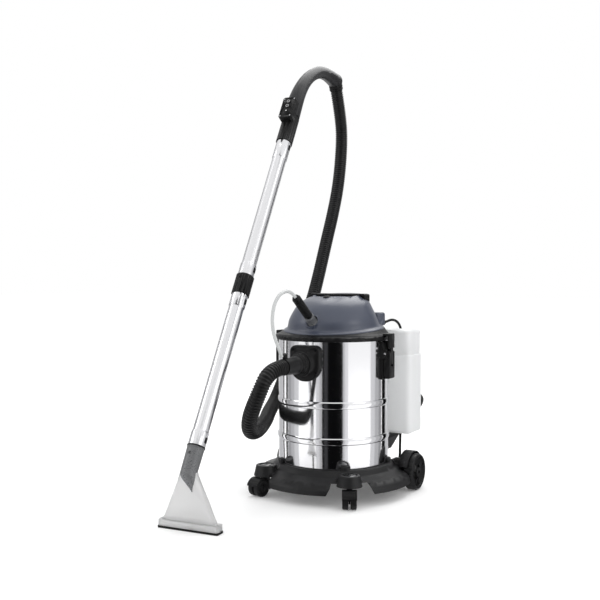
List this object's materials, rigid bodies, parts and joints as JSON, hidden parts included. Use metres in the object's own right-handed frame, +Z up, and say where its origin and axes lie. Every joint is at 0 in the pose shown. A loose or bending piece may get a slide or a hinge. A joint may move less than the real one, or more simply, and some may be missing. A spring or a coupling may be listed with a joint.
{
  "type": "spot extractor",
  "caption": "Wheeled spray-extraction cleaner: polished drum with a motor head, rear solution tank, ribbed suction hose, and a two-part tubular wand with a clear flat nozzle.",
  "frame": {"origin": "on the floor under the middle of the machine and its wand together, cords and hose left out", "axes": "+Z up; -Y to the front, where the hose inlet is; +X to the machine's left as it faces forward, with the drum's axis at X 0"},
  "size_m": [0.425, 0.9341, 1.1859],
  "materials": {
    "black_moulding": "satin black moulding",
    "pale_cap": "pale moulded cap",
    "wheel_rubber": "matt dark rubber",
    "wheel_moulding": "satin black moulding",
    "bright_steel": "bright zinc-plated steel",
    "polished_steel": "mirror-polished stainless steel",
    "gasket_rubber": "matt black rubber",
    "cover_grey": "semi-gloss blue-grey moulding",
    "motor_metal": "painted steel can",
    "rotor_metal": "plain aluminium",
    "inner_moulding": "plain grey moulding",
    "float_pale": "pale moulding",
    "foam": "open foam",
    "tank_clear": "translucent milky moulding",
    "hose_black": "satin ribbed hose",
    "tube_clear": "clear soft tube",
    "collar_grey": "grey moulding",
    "cord_rubber": "matt black cord",
    "grip_grey": "satin grey moulding",
    "button_grey": "mid grey moulding",
    "satin_tube": "polished satin tube",
    "neck_grey": "smoky translucent moulding",
    "nozzle_clear": "frosted clear moulding",
    "jet_brass": "plain brass"
  },
  "bodies": {
    "machine": {"base_trolley": "black_moulding", "carry_handle": "black_moulding", "control_box": "black_moulding", "cord_coil": "cord_rubber", "cord_gland": "gasket_rubber", "cross_screws": "bright_steel", "feed_tube": "inner_moulding", "float_cage": "inner_moulding", "foam_filter": "foam", "handle_grip_lower": "grip_grey", "handle_grip_upper": "grip_grey", "handle_sleeve": "black_moulding", "hose_cuff": "black_moulding", "inlet_flange": "black_moulding", "latch_brackets": "black_moulding", "latch_pins": "bright_steel", "lid_gasket": "gasket_rubber", "lid_ring": "black_moulding", "lower_tube": "satin_tube", "middle_sleeve": "black_moulding", "motor": "motor_metal", "motor_cover": "cover_grey", "nozzle_body": "nozzle_clear", "nozzle_lip": "nozzle_clear", "nozzle_neck": "neck_grey", "pod_caps": "pale_cap", "power_cord": "cord_rubber", "power_plug": "black_moulding", "pump": "inner_moulding", "rear_axle": "bright_steel", "solution_tank": "tank_clear", "solution_tube": "tube_clear", "spray_jet": "jet_brass", "spray_plug": "black_moulding", "squeegee": "gasket_rubber", "steel_drum": "polished_steel", "suction_hose": "hose_black", "tank_bracket": "black_moulding", "upper_tube": "satin_tube"},
    "caster_fork_left": {"caster_fork_left": "black_moulding"},
    "caster_fork_right": {"caster_fork_right": "black_moulding"},
    "caster_wheel_left": {"caster_wheel_left": "wheel_rubber"},
    "caster_wheel_right": {"caster_wheel_right": "wheel_rubber"},
    "rear_wheel_left": {"rear_wheel_left": "wheel_moulding"},
    "rear_wheel_right": {"rear_wheel_right": "wheel_moulding"},
    "latch_lever_left": {"latch_lever_left": "black_moulding"},
    "latch_lever_right": {"latch_lever_right": "black_moulding"},
    "latch_hook_left": {"latch_hook_left": "black_moulding"},
    "latch_hook_right": {"latch_hook_right": "black_moulding"},
    "power_switch": {"power_switch": "black_moulding"},
    "turbine": {"turbine_rotor": "rotor_metal"},
    "float": {"float_ball": "float_pale"},
    "tank_cap": {"tank_cap": "black_moulding"},
    "plug_collar": {"plug_collar": "collar_grey"},
    "spray_button": {"spray_button": "button_grey"},
    "stop_button": {"stop_button": "button_grey"},
    "handle_cuff": {"handle_cuff": "black_moulding"},
    "snap_button_top": {"snap_button_top": "black_moulding"},
    "snap_button_middle": {"snap_button_middle": "black_moulding"},
    "snap_button_bottom": {"snap_button_bottom": "black_moulding"}
  },
  "joints": [
    {"name": "caster_swivel_left", "type": "hinge", "parent": "machine", "child": "caster_fork_left", "pos_m": [-0.12, -0.0677, 0.0497], "axis": [0, 0, 1], "continuous": true},
    {"name": "caster_roll_left", "type": "hinge", "parent": "caster_fork_left", "child": "caster_wheel_left", "pos_m": [-0.12653, -0.0939, 0.022], "axis": [0.9703, -0.2419, 0], "continuous": true},
    {"name": "rear_roll_left", "type": "hinge", "parent": "machine", "child": "rear_wheel_left", "pos_m": [-0.193, 0.1693, 0.0475], "axis": [1, 0, 0], "continuous": true},
    {"name": "latch_lever_turn_left", "type": "hinge", "parent": "machine", "child": "latch_lever_left", "pos_m": [-0.158, 0.0763, 0.366], "axis": [0, 1, 0], "range_deg": [0, 105]},
    {"name": "latch_hook_turn_left", "type": "hinge", "parent": "latch_lever_left", "child": "latch_hook_left", "pos_m": [-0.166, 0.0763, 0.343], "axis": [0, 1, 0], "range_deg": [-105, 0]},
    {"name": "caster_swivel_right", "type": "hinge", "parent": "machine", "child": "caster_fork_right", "pos_m": [0.12, -0.0677, 0.0497], "axis": [0, 0, 1], "continuous": true},
    {"name": "caster_roll_right", "type": "hinge", "parent": "caster_fork_right", "child": "caster_wheel_right", "pos_m": [0.13226, -0.09176, 0.022], "axis": [0.891, 0.454, 0], "continuous": true},
    {"name": "rear_roll_right", "type": "hinge", "parent": "machine", "child": "rear_wheel_right", "pos_m": [0.193, 0.1693, 0.0475], "axis": [1, 0, 0], "continuous": true},
    {"name": "latch_lever_turn_right", "type": "hinge", "parent": "machine", "child": "latch_lever_right", "pos_m": [0.158, 0.0763, 0.366], "axis": [0, -1, 0], "range_deg": [0, 105]},
    {"name": "latch_hook_turn_right", "type": "hinge", "parent": "latch_lever_right", "child": "latch_hook_right", "pos_m": [0.166, 0.0763, 0.343], "axis": [0, -1, 0], "range_deg": [-105, 0]},
    {"name": "power_switch_press", "type": "slide", "parent": "machine", "child": "power_switch", "axis": [0, 0, -1], "range_m": [0, 0.002], "stiffness_N_per_m": 400},
    {"name": "turbine_spin", "type": "hinge", "parent": "machine", "child": "turbine", "pos_m": [0, 0.0763, 0.38], "axis": [0, 0, 1], "continuous": true},
    {"name": "float_rise", "type": "slide", "parent": "machine", "child": "float", "axis": [0, 0, 1], "range_m": [0, 0.019]},
    {"name": "tank_cap_turn", "type": "hinge", "parent": "machine", "child": "tank_cap", "pos_m": [0.134, 0.3063, 0.214], "axis": [0, 1, 0], "continuous": true},
    {"name": "plug_collar_slide", "type": "slide", "parent": "machine", "child": "plug_collar", "axis": [0, -0.7986, 0.6018], "range_m": [0, 0.004], "stiffness_N_per_m": 300},
    {"name": "spray_button_press", "type": "slide", "parent": "machine", "child": "spray_button", "axis": [-0.0746, 0.8521, -0.518], "range_m": [0, 0.002], "stiffness_N_per_m": 300},
    {"name": "stop_button_press", "type": "slide", "parent": "machine", "child": "stop_button", "axis": [-0.0746, 0.8521, -0.518], "range_m": [0, 0.002], "stiffness_N_per_m": 300},
    {"name": "snap_top_press", "type": "slide", "parent": "machine", "child": "snap_button_top", "axis": [-0.9962, -0.0872, 0], "range_m": [0, 0.003], "stiffness_N_per_m": 600},
    {"name": "snap_middle_press", "type": "slide", "parent": "machine", "child": "snap_button_middle", "axis": [-0.9962, -0.0872, 0], "range_m": [0, 0.003], "stiffness_N_per_m": 600},
    {"name": "snap_bottom_press", "type": "slide", "parent": "machine", "child": "snap_button_bottom", "axis": [-0.9962, -0.0872, 0], "range_m": [0, 0.003], "stiffness_N_per_m": 600},
    {"name": "handle_cuff_swivel", "type": "hinge", "parent": "machine", "child": "handle_cuff", "pos_m": [-0.17155, 0.41693, 1.14399], "axis": [0.0366, -0.4184, 0.9075], "continuous": true}
  ],
  "couplings": [
    {"joint": "latch_hook_turn_left", "follows": "latch_lever_turn_left", "ratio": -1},
    {"joint": "latch_hook_turn_right", "follows": "latch_lever_turn_right", "ratio": -1}
  ]
}
